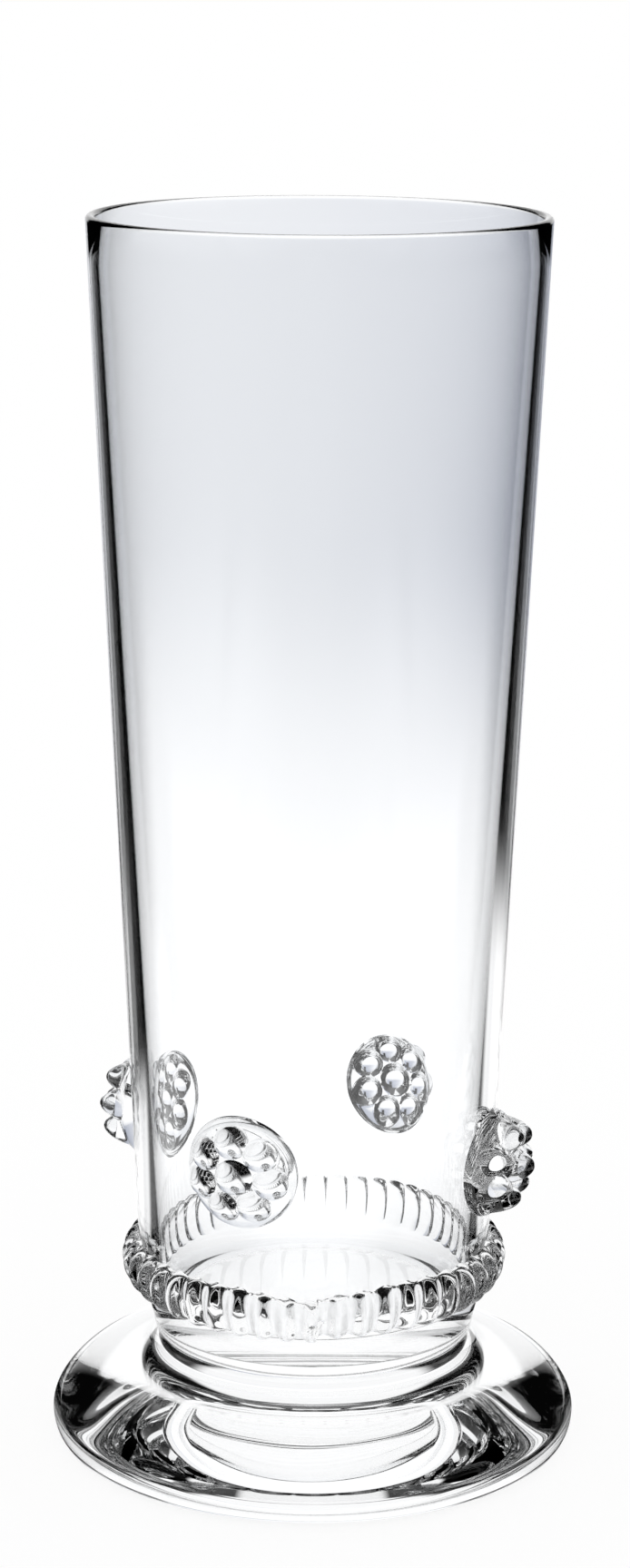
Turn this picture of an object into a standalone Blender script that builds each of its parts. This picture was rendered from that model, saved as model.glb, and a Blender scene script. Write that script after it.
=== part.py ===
"""Hand-blown stemless champagne glass: bowl, foot, milled trail and raspberry prunts.

Metres, +Z up. The origin is the centre of the foot's flat underside, and the
front of the glass faces -Y. Every gather of glass is a solid of its own, seated
on the next with a small clearance.
"""

import math

import bmesh
import bpy

# Heights. A rise is measured up from the seam where the bowl stands on the foot.
TOTAL_HEIGHT = 0.165
SEAM_HEIGHT = 0.0144
WAIST_RISE = 0.0146
BASE_THICKNESS = 0.0045

# Bowl
RIM_RADIUS = 0.0300
WAIST_RADIUS = 0.0239
BASE_RADIUS = 0.0218
RIM_WALL = 0.0013
WAIST_WALL = 0.0026
FLOOR_ROUND = 0.0055
BASE_ROLL = 0.0018

# Crease pinched round the seam, where the foot flares out from under the bowl
NECK_RADIUS = 0.0209
FLARE_REACH = 0.0045
FLARE_DROP = 0.0042

# Foot: a crowned disc with a rolled edge and a flat underside
FOOT_RADIUS = 0.0356
FOOT_EDGE_HEIGHT = 0.0031
FOOT_EDGE_ROLL = 0.0015
CROWN_POWER = 1.7

# Trail: a strip laid round the bowl and milled into upright ribs, deep and blunt at the
# front and shallow at the back. The ribs are counted from a crease at RIB_TURN.
TRAIL_RISE = 0.0100
TRAIL_WIDTH = 0.0070
TRAIL_DROP = 0.0006
TRAIL_FRONT_DEPTH = 0.0029
TRAIL_BACK_DEPTH = 0.0014
TRAIL_FRONT_TAPER = 0.8
TRAIL_BACK_TAPER = 2.4
RIB_COUNT = 46
RIB_TURN = math.radians(3.4)
RIB_FRONT_DEPTH = 0.0015
RIB_BACK_DEPTH = 0.0005

# Join where the ends of the trail meet at the front: a pit, and a top edge that dips towards it
JOIN_TURN = math.radians(1.0)
JOIN_WIDTH = 0.0026
JOIN_DEPTH = 0.0009
JOIN_DIP = 0.0012
JOIN_REACH = math.radians(25.0)

# Prunts: stamped bosses, each with a large knob in the middle and a ring of smaller ones
PRUNT_RISE = 0.0276
PRUNT_RADIUS = 0.0074
PRUNT_EDGE = 0.0009
BOSS_HEIGHT = 0.0025
MIDDLE_KNOB_RADIUS = 0.0024
MIDDLE_KNOB_HEIGHT = 0.0022
KNOB_COUNT = 7
KNOB_RING_RADIUS = 0.0046
KNOB_RADIUS = 0.0021
KNOB_HEIGHT = 0.0017

# Each prunt's turn from the front of the glass, how far it sits off PRUNT_RISE, how much further
# than PRUNT_RADIUS its rim has spread, the turn of its stamp, and how far it stands out in all
PRUNTS = {
    "prunt_left": (math.radians(-116.0), 0.0, 0.0, math.radians(12.0), 0.0075),
    "prunt_front": (math.radians(-22.7), 0.0017, 0.0003, math.radians(-7.0), 0.0047),
    "prunt_right": (math.radians(71.0), -0.0018, -0.0001, math.radians(0.0), 0.0066),
    "prunt_back": (math.radians(152.0), -0.0003, -0.0003, math.radians(25.0), 0.0047),
}

# Clearance between gathers that are seated on each other
CLEARANCE = 0.0003

# Facets
TURN_STEPS = 64
ARC_STEPS = 4
CROWN_STEPS = 9
WALL_ROWS = 3
RIB_STEPS = 4
TRAIL_ARC_STEPS = 6
KNOB_STEPS = 6
PRUNT_RINGS = 10
SEAT_RINGS = 2
SMOOTH_ANGLE = math.radians(40.0)
MERGE_DISTANCE = 0.00001

# Clear glass, faintly blue-grey
GLASS_TINT = (0.93, 0.95, 0.97, 1.0)
GLASS_ROUGHNESS = 0.03
GLASS_METALLIC = 0.0
GLASS_IOR = 1.5


def clear_scene():
    for obj in list(bpy.data.objects):
        bpy.data.objects.remove(obj, do_unlink=True)


def glass(name):
    material = bpy.data.materials.new(name)
    material.use_nodes = True
    shader = material.node_tree.nodes["Principled BSDF"]
    shader.inputs["Base Color"].default_value = GLASS_TINT
    shader.inputs["Roughness"].default_value = GLASS_ROUGHNESS
    shader.inputs["Metallic"].default_value = GLASS_METALLIC
    shader.inputs["IOR"].default_value = GLASS_IOR
    shader.inputs["Transmission Weight"].default_value = 1.0
    return material


def add_object(name, mesh):
    obj = bpy.data.objects.new(name, mesh)
    bpy.context.scene.collection.objects.link(obj)
    obj.data.materials.append(glass(name + "_glass"))
    return obj


def arc(centre, radii, start, end, steps):
    """Points (radius, height) along an elliptical arc, angles in degrees from +radius."""
    points = []
    for step in range(steps + 1):
        angle = math.radians(start + (end - start) * step / steps)
        points.append((centre[0] + radii[0] * math.cos(angle), centre[1] + radii[1] * math.sin(angle)))
    return points


def waist_height():
    return SEAM_HEIGHT + WAIST_RISE


def lip_height():
    """Height of the lip's centre line, half a wall below the top of the glass."""
    return TOTAL_HEIGHT - RIM_WALL / 2


def base_height():
    """Height where the bowl's side starts to roll under."""
    return SEAM_HEIGHT + CLEARANCE + BASE_ROLL


def along_wall(height):
    """How far up the straight wall a height lies: 0 at the waist and 1 at the lip."""
    return (height - waist_height()) / (lip_height() - waist_height())


def outer_radius(height):
    """Outside of the bowl: a straight cone above the waist that bends in below it."""
    slope = (RIM_RADIUS - WAIST_RADIUS) / (lip_height() - waist_height())
    straight = WAIST_RADIUS + slope * (height - waist_height())
    if height >= waist_height():
        return straight
    depth = waist_height() - base_height()
    bend = (WAIST_RADIUS - slope * depth - BASE_RADIUS) / depth**2
    return straight - bend * (waist_height() - height) ** 2


def inner_radius(height):
    """Inside of the bowl: one straight cone, so the wall thickens towards the base."""
    waist = WAIST_RADIUS - WAIST_WALL
    return waist + (RIM_RADIUS - RIM_WALL - waist) * along_wall(height)


def heights_between(start, end, rows):
    return [start + (end - start) * row / rows for row in range(rows + 1)]


def bowl_outline():
    """From the middle of the floor up the inside, over the lip and down the outside."""
    floor = SEAM_HEIGHT + CLEARANCE + BASE_THICKNESS
    wall_start = floor + FLOOR_ROUND
    corner = (inner_radius(wall_start) - FLOOR_ROUND, wall_start)
    lip = (RIM_RADIUS - RIM_WALL / 2, lip_height())
    roll = (NECK_RADIUS, base_height())
    points = [(0.0, floor)]
    points += arc(corner, (FLOOR_ROUND, FLOOR_ROUND), -90, 0, ARC_STEPS)
    points += [(inner_radius(z), z) for z in heights_between(wall_start, lip_height(), WALL_ROWS)[1:-1]]
    points += arc(lip, (RIM_WALL / 2, RIM_WALL / 2), 180, 0, ARC_STEPS)
    points += [(outer_radius(z), z) for z in heights_between(lip_height(), waist_height(), WALL_ROWS)[1:]]
    points += [(outer_radius(z), z) for z in heights_between(waist_height(), base_height(), ARC_STEPS)[1:]]
    points += arc(roll, (BASE_RADIUS - NECK_RADIUS, BASE_ROLL), 0, -90, ARC_STEPS)[1:]
    points.append((0.0, SEAM_HEIGHT + CLEARANCE))
    return points


def crown(start, radii):
    """Crown of the foot, from its top near the neck out to the widest ring."""
    points = []
    for step in range(CROWN_STEPS + 1):
        angle = math.pi / 2 * (1 - step / CROWN_STEPS)
        out = radii[0] * max(math.cos(angle), 0.0) ** (2 / CROWN_POWER)
        up = radii[1] * max(math.sin(angle), 0.0) ** (2 / CROWN_POWER)
        points.append((start[0] + out, start[1] + up))
    return points


def foot_outline():
    """From the middle of the seat over the flare, the crown and the rolled edge to the underside."""
    flare = (NECK_RADIUS + FLARE_REACH, SEAM_HEIGHT)
    crown_size = (FOOT_RADIUS - flare[0], SEAM_HEIGHT - FLARE_DROP - FOOT_EDGE_HEIGHT)
    edge = (FOOT_RADIUS - FOOT_EDGE_ROLL, FOOT_EDGE_HEIGHT)
    points = [(0.0, SEAM_HEIGHT)]
    points += arc(flare, (FLARE_REACH, FLARE_DROP), 180, 270, ARC_STEPS)
    points += crown((flare[0], FOOT_EDGE_HEIGHT), crown_size)[1:]
    points += arc(edge, (FOOT_EDGE_ROLL, FOOT_EDGE_HEIGHT), 0, -90, ARC_STEPS)[1:]
    points.append((0.0, 0.0))
    return points


def turned(name, outline):
    """Solid of revolution from an outline of (radius, height) points."""
    mesh = bpy.data.meshes.new(name)
    edges = [(index, index + 1) for index in range(len(outline) - 1)]
    mesh.from_pydata([(radius, 0.0, height) for radius, height in outline], edges, [])
    obj = add_object(name, mesh)
    screw = obj.modifiers.new("Turn", "SCREW")
    screw.steps = TURN_STEPS
    screw.render_steps = TURN_STEPS
    screw.use_merge_vertices = True
    screw.merge_threshold = MERGE_DISTANCE
    screw.use_smooth_shade = True
    return obj


def on_wall(turn, height, stand_off):
    """Point at a turn from the front, standing off the outside of the bowl."""
    radius = outer_radius(height) + CLEARANCE + stand_off
    return (radius * math.sin(turn), -radius * math.cos(turn), height)


def from_join(turn):
    """Turn counted from the join of the trail, between minus and plus half a turn."""
    return (turn - JOIN_TURN + math.pi) % (2 * math.pi) - math.pi


def eased(turn, front, back):
    """Value that stays near the front's round most of the glass and reaches the back's behind it."""
    behind = ((1 - math.cos(turn)) / 2) ** 2
    return front + (back - front) * behind


def trail_depth(turn):
    """Depth of the trail at a turn: rounded ribs with creases between, and a pit at its join."""
    depth = eased(turn, TRAIL_FRONT_DEPTH, TRAIL_BACK_DEPTH)
    crease = 1 - abs(math.sin(RIB_COUNT * (turn - RIB_TURN) / 2))
    pit = max(0.0, 1 - abs(from_join(turn)) * WAIST_RADIUS / (JOIN_WIDTH / 2))
    return depth - eased(turn, RIB_FRONT_DEPTH, RIB_BACK_DEPTH) * crease - JOIN_DEPTH * pit


def trail_edges(turn):
    """Lower and upper edge of the trail, which sinks a little on its way round the bowl."""
    way_round = (from_join(turn) / (2 * math.pi)) % 1.0
    middle = SEAM_HEIGHT + TRAIL_RISE + TRAIL_DROP * (0.5 - way_round)
    near_join = max(0.0, 1 - abs(from_join(turn)) / JOIN_REACH)
    return middle - TRAIL_WIDTH / 2, middle + TRAIL_WIDTH / 2 - JOIN_DIP * near_join


def trail_section(turn):
    """Closed section of the trail: its rounded face from bottom to top, then its seat."""
    low, high = trail_edges(turn)
    taper = eased(turn, TRAIL_FRONT_TAPER, TRAIL_BACK_TAPER)
    points = []
    for step in range(TRAIL_ARC_STEPS + 1):
        angle = math.pi * (step / TRAIL_ARC_STEPS - 0.5)
        bulge = max(math.cos(angle), 0.0) ** taper
        height = low + (high - low) * (1 + math.sin(angle)) / 2
        points.append(on_wall(turn, height, trail_depth(turn) * bulge))
    points.append(on_wall(turn, (low + high) / 2, 0.0))
    return points


def trail_band():
    """Ring of sections, joined each to the next and the last to the first."""
    columns = RIB_COUNT * RIB_STEPS
    shape = bmesh.new()
    sections = []
    for column in range(columns):
        turn = RIB_TURN + 2 * math.pi * column / columns
        sections.append([shape.verts.new(point) for point in trail_section(turn)])
    for column, section in enumerate(sections):
        following = sections[(column + 1) % columns]
        for row in range(len(section)):
            above = (row + 1) % len(section)
            shape.faces.new((section[row], following[row], following[above], section[above]))
    return smooth_object("trail_band", shape)


def smooth_object(name, shape):
    """Object from a bmesh, its faces turned out and shaded smooth."""
    bmesh.ops.recalc_face_normals(shape, faces=shape.faces)
    mesh = bpy.data.meshes.new(name)
    shape.to_mesh(mesh)
    shape.free()
    mesh.shade_smooth()
    mesh.set_sharp_from_angle(angle=SMOOTH_ANGLE)
    return add_object(name, mesh)


def knobs(stamp):
    """Place, radius and height of each knob: one in the middle and a ring turned by the stamp."""
    places = [(0.0, 0.0, MIDDLE_KNOB_RADIUS, MIDDLE_KNOB_HEIGHT)]
    for knob in range(KNOB_COUNT):
        angle = stamp + 2 * math.pi * knob / KNOB_COUNT
        across = KNOB_RING_RADIUS * math.cos(angle)
        up = KNOB_RING_RADIUS * math.sin(angle)
        places.append((across, up, KNOB_RADIUS, KNOB_HEIGHT))
    return places


def prunt_relief(across, up, radius, stamp):
    """Height of a prunt's face above its seat: a domed boss with round knobs on it."""
    share = min(math.hypot(across, up) / radius, 1.0)
    boss = PRUNT_EDGE + (BOSS_HEIGHT - PRUNT_EDGE) * math.sqrt(1 - share**2)
    raised = 0.0
    for x, y, knob_radius, knob_height in knobs(stamp):
        away = math.hypot(across - x, up - y) / knob_radius
        raised = max(raised, knob_height * math.sqrt(max(0.0, 1 - away**2)))
    return boss + raised


def prunt_disc(shape, height, radius, stamp, rings, relief):
    """Rings of points laid on the bowl's wall, from the rim of a prunt to its middle."""
    segments = KNOB_COUNT * KNOB_STEPS
    discs = []
    for ring in range(rings, 0, -1):
        reach = radius * ring / rings
        row = []
        for segment in range(segments):
            angle = stamp + 2 * math.pi * segment / segments
            across = reach * math.cos(angle)
            up = reach * math.sin(angle)
            turn = across / outer_radius(height)
            row.append(shape.verts.new(on_wall(turn, height + up, relief(across, up))))
        discs.append(row)
    middle = shape.verts.new(on_wall(0.0, height, relief(0.0, 0.0)))
    return discs, middle


def fill_disc(shape, discs, middle):
    for outer, inner in zip(discs, discs[1:]):
        fill_band(shape, outer, inner)
    last = discs[-1]
    for index in range(len(last)):
        shape.faces.new((last[index - 1], last[index], middle))


def fill_band(shape, outer, inner):
    for index in range(len(outer)):
        shape.faces.new((outer[index - 1], outer[index], inner[index], inner[index - 1]))


def prunt(name, turn, offset, spread, stamp, stand_out):
    """Stamped boss: a knobbed face, a thin rim and a seat that follows the bowl's wall."""
    height = SEAM_HEIGHT + PRUNT_RISE + offset
    radius = PRUNT_RADIUS + spread
    lift = stand_out / (BOSS_HEIGHT + MIDDLE_KNOB_HEIGHT)
    shape = bmesh.new()

    def relief(across, up):
        return lift * prunt_relief(across, up, radius, stamp)

    face, face_middle = prunt_disc(shape, height, radius, stamp, PRUNT_RINGS, relief)
    seat, seat_middle = prunt_disc(shape, height, radius, stamp, SEAT_RINGS, lambda across, up: 0.0)
    fill_disc(shape, face, face_middle)
    fill_disc(shape, seat, seat_middle)
    fill_band(shape, seat[0], face[0])
    obj = smooth_object(name, shape)
    obj.rotation_euler.z = turn
    return obj


def main():
    clear_scene()
    turned("bowl", bowl_outline())
    turned("foot", foot_outline())
    trail_band()
    for name, places in PRUNTS.items():
        prunt(name, *places)


main()
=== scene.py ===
"""Looks of a hand-blown stemless champagne glass, laid out as a Blender add-on.

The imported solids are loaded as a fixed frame. Every gather is then made again as a
fine skin of clear glass in the same place. Where two gathers are fused, both skins
end in one shared seam that light passes unbent, as it does inside solid glass.
"""

import math

import bmesh
import bpy
import numpy as np
from bpy.props import FloatProperty, FloatVectorProperty, IntProperty, PointerProperty
from mathutils import Matrix, Vector
from mathutils.geometry import delaunay_2d_cdt


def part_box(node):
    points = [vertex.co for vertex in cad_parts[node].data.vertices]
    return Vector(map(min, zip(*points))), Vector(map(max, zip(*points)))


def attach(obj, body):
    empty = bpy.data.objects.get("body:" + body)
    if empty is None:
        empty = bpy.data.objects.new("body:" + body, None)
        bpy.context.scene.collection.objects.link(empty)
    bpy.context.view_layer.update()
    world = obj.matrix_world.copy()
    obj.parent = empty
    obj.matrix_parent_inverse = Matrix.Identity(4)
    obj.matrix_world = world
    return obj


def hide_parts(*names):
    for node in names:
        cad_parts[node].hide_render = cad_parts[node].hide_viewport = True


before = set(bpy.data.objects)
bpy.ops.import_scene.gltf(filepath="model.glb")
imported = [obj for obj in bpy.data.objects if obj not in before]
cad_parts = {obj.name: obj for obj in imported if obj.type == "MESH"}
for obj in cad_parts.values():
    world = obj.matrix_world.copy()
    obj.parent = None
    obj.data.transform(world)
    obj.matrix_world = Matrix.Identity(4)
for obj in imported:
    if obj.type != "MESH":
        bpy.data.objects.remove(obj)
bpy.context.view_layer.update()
BOWL_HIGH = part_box("bowl")[1]
FOOT_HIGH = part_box("foot")[1]
TRAIL_LOW, TRAIL_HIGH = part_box("trail_band")
BODY = "root"
WHITE = (1.0, 1.0, 1.0)

# Turn of each prunt's stamp in degrees, and how far it stands out as a share of the plain relief
PRUNT_STAMPS = {
    "prunt_left": (12.0, 1.6),
    "prunt_front": (-7.0, 1.0),
    "prunt_right": (0.0, 1.4),
    "prunt_back": (25.0, 1.3),
}

# The trail: how far it sinks in one turn, its width, the corners of the pocket at its join (across
# and up, as shares of the pocket's and the trail's width), and the share of its depth left there
TRAIL_DROP = 0.0006
TRAIL_WIDTH = TRAIL_HIGH.z - TRAIL_LOW.z - TRAIL_DROP
JOIN_POCKET = ((-0.40, 0.09), (0.44, -0.02), (-0.19, -0.24))
LEAST_DEPTH = 0.1

# Strip of the bowl's wall that carries the prunts, and how far its own points keep off their seats
STRIP_LOW, STRIP_HIGH = 0.0315, 0.0525
SEAT_MARGIN = 0.0004

# Soft waves in the foot's crown: folds round it, pace outwards in radians a metre, and start
FOOT_WAVES = ((3, 300.0, 0.4), (5, -450.0, 2.1), (8, 200.0, 4.0))

# How finely the skins are divided
COLUMNS_PER_RIB = 12
FOOT_COLUMNS = 384
PRUNT_SEGMENTS_PER_KNOB = 24
PRUNT_RINGS = 64
TRAIL_ROWS = 36
SEAT_ROWS = 5
SEAT_PARTS = (0.7, 0.35)
STRIP_ROWS = 14
STRIP_COLUMN_STEP = 2
STRIP_TO_TRAIL_ROWS = 3
FLOOR_ROWS = 6
CORNER_ROWS = 14
WALL_ROWS = 24
LIP_ROWS = 10
ROLL_ROWS = 12
NECK_ROWS = 4
FLARE_ROWS = 16
CROWN_ROWS = 40
EDGE_ROWS = 20
UNDERSIDE_ROWS = 6
MICRON = 0.000001
SHARP_ANGLE = math.radians(50.0)

# The stage's floor: corners of its round sheet, and how far it lies under the foot
STAGE_CORNERS = 128
STAGE_DROP = 0.0002

# Start and end of soft edges of the painted light on the paper, in metres, and in the sky, in sines
# of the height
# Painted contact shadow: where the paper's light to the glass dims close to the foot
PAINTED_CONTACT_SHADOW_ENDS = (0.030, 0.055)
NEAR_BEGINS = (0.05, 0.08)
CLOSE_ENDS = (0.125, 0.165)
FAR_BEGINS = (0.18, 0.7)
RIGHT_BEGINS = (-0.01, 0.01)
PETALS_END = (0.10, 0.20)
CEILING_BEGINS = (0.55, 0.97)

# Softness, start or end of other edges of the painted light on the paper, as a share of where they
# lie
PAPER_SOFTNESS = 0.2
END_SOFTNESS = 0.3
SIDE_START_SOFTNESS = 0.14
SIDE_SOFTNESS = 0.08
SIDE_END_SOFTNESS = 0.04
SHADE_OVER_BEGINS = 0.85
NEAR_RIGHT_ENDS = 1.15
PETALS_GROWN = 1.5
PETALS = 8
PETAL_SOFTNESS = 0.15

# Sockets of a Mix node that mixes colours, where names repeat
MIX_FIRST, MIX_SECOND, MIX_RESULT = 6, 7, 2

# How often light may bend and mirror in the glass, and pass its seams
BOUNCES = 32
MIRROR_BOUNCES = 16
SEAM_BOUNCES = 64
CLIP_START = 0.01

bl_info = {
    "name": "Champagne Glass",
    "version": (1, 0, 0),
    "blender": (4, 5, 0),
    "location": "3D View > Sidebar > Champagne Glass",
    "description": "Dresses a hand-blown stemless champagne glass and the studio it stands in",
    "category": "Object",
}


def length(name, description, default):
    """A size in metres that a user can change."""
    return FloatProperty(
        name=name, description=description, default=default, unit="LENGTH", precision=5
    )


def turning(name, description, degrees):
    """An angle that a user can change, given in degrees."""
    default = math.radians(degrees)
    return FloatProperty(name=name, description=description, default=default, subtype="ANGLE")


def share(name, description, default):
    """A plain number that a user can change."""
    return FloatProperty(name=name, description=description, default=default, precision=4)


def count(name, description, default):
    """A whole number that a user can change."""
    return IntProperty(name=name, description=description, default=default)


def colour(name, description, default):
    """A colour that a user can change."""
    return FloatVectorProperty(
        name=name, description=description, default=default, subtype="COLOR", min=0.0, max=1.0
    )


class GlassSizes(bpy.types.PropertyGroup):
    """Sizes of the bowl and the foot."""

    rim_radius: length("Rim radius", "Outside of the lip", BOWL_HIGH.x)
    rim_height: length("Rim height", "Top of the lip above the table", BOWL_HIGH.z)
    rim_wall: length("Rim wall", "Thickness of the wall at the lip", 0.0013)
    waist_radius: length("Waist radius", "Outside where the straight wall starts", 0.0239)
    waist_height: length("Waist height", "Where the straight wall starts", 0.0290)
    waist_wall: length("Waist wall", "Thickness of the wall at the waist", 0.0026)
    base_radius: length("Base radius", "Outside of the bowl where it rolls under", 0.0218)
    base_roll: length("Base roll", "Height of the roll under the bowl", 0.0018)
    floor_height: length("Floor height", "Inside floor of the bowl at its rim", 0.0192)
    floor_dish: length("Floor dish", "How far the floor sinks towards its middle", 0.0004)
    floor_round: length("Floor rounding", "Rounding between floor and wall", 0.0055)
    seam_height: length("Seam height", "Where the bowl is fused to the foot", FOOT_HIGH.z)
    neck_radius: length("Neck radius", "Where bowl and foot meet", 0.0209)
    flare_reach: length("Flare reach", "How far the cove below the neck spreads", 0.0045)
    flare_drop: length("Flare drop", "How far the cove falls from the neck to the crown", 0.0042)
    foot_radius: length("Foot radius", "Widest ring of the foot", FOOT_HIGH.x)
    foot_edge_height: length("Foot edge height", "Height of the widest ring", 0.0031)
    foot_edge_roll: length("Foot edge roll", "How far the edge rolls in underneath", 0.0015)
    foot_wave: length("Foot wave", "Height of the soft waves left in the crown", 0.00004)
    crown_power: share("Crown fullness", "2 is an ellipse, less is flatter", 1.7)


class OrnamentSizes(bpy.types.PropertyGroup):
    """Sizes of the milled trail and the stamped prunts."""

    trail_middle: length("Trail height", "Middle of the trail", (TRAIL_LOW.z + TRAIL_HIGH.z) / 2)
    trail_width: length("Trail width", "Height of the strip", TRAIL_WIDTH)
    trail_depth: length("Trail depth", "How far the ribs stand off the bowl at the front", 0.0029)
    trail_back_depth: length("Trail depth behind", "How far they stand off it at the back", 0.0014)
    trail_bluntness: share("Trail bluntness", "Less makes the ribs' ends blunter at the front", 0.4)
    trail_back_bluntness: share("Trail bluntness behind", "The same at the back", 1.2)
    trail_drop: length("Trail drop", "How far the strip sinks in one turn", TRAIL_DROP)
    trail_scallop: length("Trail scallop", "How far the creases cut into the strip's edges", 0.0004)
    rib_count: count("Ribs", "Ribs milled into the trail", 46)
    rib_depth: length("Rib depth", "Depth of the creases between ribs at the front", 0.0015)
    rib_turn: turning("Rib turn", "Where one of the creases between ribs lies", 3.4)
    rib_back_depth: length("Rib depth behind", "Depth of the creases at the back", 0.0005)
    join_turn: turning("Join", "Where the ends of the trail meet", 1.0)
    join_width: length("Join width", "Width of the pocket at the join", 0.0024)
    join_depth: length("Join depth", "Depth of the pocket at the join", 0.0018)
    join_slope: share("Join slope", "Width of the pocket's sides as a share of its own", 0.15)
    join_dip: length("Join dip", "How far the upper edge dips at the join", 0.0012)
    join_reach: turning("Join reach", "How far from the join the upper edge starts to dip", 25.0)
    boss_height: length("Boss height", "Height of a prunt's boss under its knobs", 0.0025)
    knob_count: count("Knobs", "Knobs in the ring of a prunt", 7)
    knob_ring: length("Knob ring", "Radius of the ring of knobs", 0.0046)
    knob_radius: length("Knob radius", "Radius of a knob in the ring", 0.0021)
    knob_height: length("Knob height", "How far a knob in the ring stands up", 0.0017)
    knob_fullness: share("Knob fullness", "Less makes the knobs' sides steeper", 0.8)
    boss_flatness: share("Boss flatness", "More makes the boss flatter and its edge rounder", 2.5)
    middle_knob_radius: length("Middle knob radius", "Radius of the knob in the middle", 0.0024)
    middle_knob_height: length("Middle knob height", "How far the middle knob stands up", 0.0022)


class GlassFinish(bpy.types.PropertyGroup):
    """Colour and surface of the glass."""

    tint: colour("Tint", "Colour of light that has passed the glass", (0.985, 0.990, 0.996))
    shadow_tint: colour("Shadow tint", "Light let through to the floor", (0.9, 0.9, 0.9))
    index: share("Refraction index", "How strongly the glass bends light", 1.46)
    ripple: length("Ripple", "Height of the ripples left by blowing", 0.00001)


class StudioSettings(bpy.types.PropertyGroup):
    """Camera, floor and light."""

    camera_distance: length("Camera distance", "From the axis of the glass", 0.491)
    camera_height: length("Camera height", "Above the table", 0.207)
    camera_tilt: turning("Camera tilt", "Downward tilt", 13.4)
    camera_roll: turning("Camera roll", "Turn about the line of sight", 0.33)
    camera_pan: turning("Camera pan", "Turn to the left", 0.02)
    focal_length: share("Focal length", "In millimetres, for a 36 mm sensor", 87.47)
    floor_radius: length("Floor radius", "Reach of the pale floor", 4.0)
    floor_colour: colour("Floor colour", "Paper that the glass stands on", (1.0, 1.0, 1.0))
    # Painted shade: the paper far off is shown to the glass in this dimmer, bluer white; the world
    # uses it too.
    far_colour: colour("Far colour", "The same paper seen far off", (0.94, 0.955, 0.985))
    shade_colour: colour("Shade colour", "The far paper on its shaded side", (0.54, 0.57, 0.655))
    shade_start: turning("Shade start", "Where the far paper darkens, from straight behind", -5.0)
    shade_end: turning("Shade end", "Where the far paper is darkest", 20.0)
    shade_over: turning("Shade over", "Where it is white again, past its shaded side", 40.0)
    # Painted shade: the floor shows this dark to the glass outside its painted light, and the world
    # shows it too.
    dark_colour: colour("Dark colour", "Dark studio beside the paper", (0.0015, 0.0015, 0.0015))
    strip_half_width: length("Strip half width", "Half of the paper lit at the glass", 0.040)
    mirror_half_width: length("Mirror half width", "Half of that strip as mirrored in it", 0.030)
    strip_softness: share("Strip softness", "Softness of their edges, as a share", 0.05)
    front_start: length("Front start", "Where the paper widens in front of the glass", 0.075)
    front_end: length("Front end", "Where the strip of paper ends in front of the glass", 0.35)
    front_half_width: length("Front half width", "Half of the paper in front of the glass", 0.3)
    # Painted light: the paper next to the glass glows brighter than white to rays from the glass.
    painted_near_glow_strength: share("Near strength", "Brightness of the paper next to the glass", 1.12)
    # Painted contact shadow: the paper's brightness to the glass dims to this share close to the
    # foot.
    painted_contact_shadow_share: share("Contact share", "Share of that brightness left close to the foot", 0.92)
    petal_start: length("Petal start", "Where the lit petals of the floor begin", 0.05)
    petal_half_width: turning("Petal half width", "Half of each lit petal round the glass", 16.0)
    petal_share: share("Petal share", "Brightness of the lit petals", 1.0)
    sweep_half_width: turning("Sweep half width", "Half of the white sweep behind the glass", 20.0)
    sweep_edge: turning("Sweep edge", "Where the white sweep has ended", 24.0)
    sweep_soft_edge: turning("Sweep soft edge", "Where the sweep's mirror image has ended", 26.0)
    floor_sweep: turning("Floor sweep", "Half of the sweep's floor behind the glass", 29.0)
    floor_sweep_edge: turning("Floor sweep edge", "Where the sweep's floor has ended", 35.0)
    mirror_sweep: turning("Mirror sweep", "Half of that floor as mirrored in the glass", 18.0)
    mirror_sweep_edge: turning("Mirror sweep edge", "Where that floor has ended", 21.0)
    near_sweep: turning("Near sweep", "Half of the mirrored floor near the glass", 24.0)
    near_sweep_edge: turning("Near sweep edge", "Where that near floor has ended", 27.0)
    near_sweep_right: turning("Near sweep right", "The same on the right and close by", 45.0)
    near_sweep_end: length("Near sweep end", "How far behind the glass the near floor ends", 0.25)
    side_sweep: turning("Side sweep", "Where the mirrored floor beside the glass begins", 70.0)
    side_sweep_end: turning("Side sweep end", "Where that floor beside the glass ends", 130.0)
    side_start: length("Side start", "How far from the glass that floor begins", 0.105)
    side_end: length("Side end", "How far from the glass that floor ends", 0.45)
    ceiling_share: share("Ceiling share", "Brightness straight overhead", 0.15)
    shadow_share: share("Shadow share", "Share of the floor's light that the shadow can take", 0.15)


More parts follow.
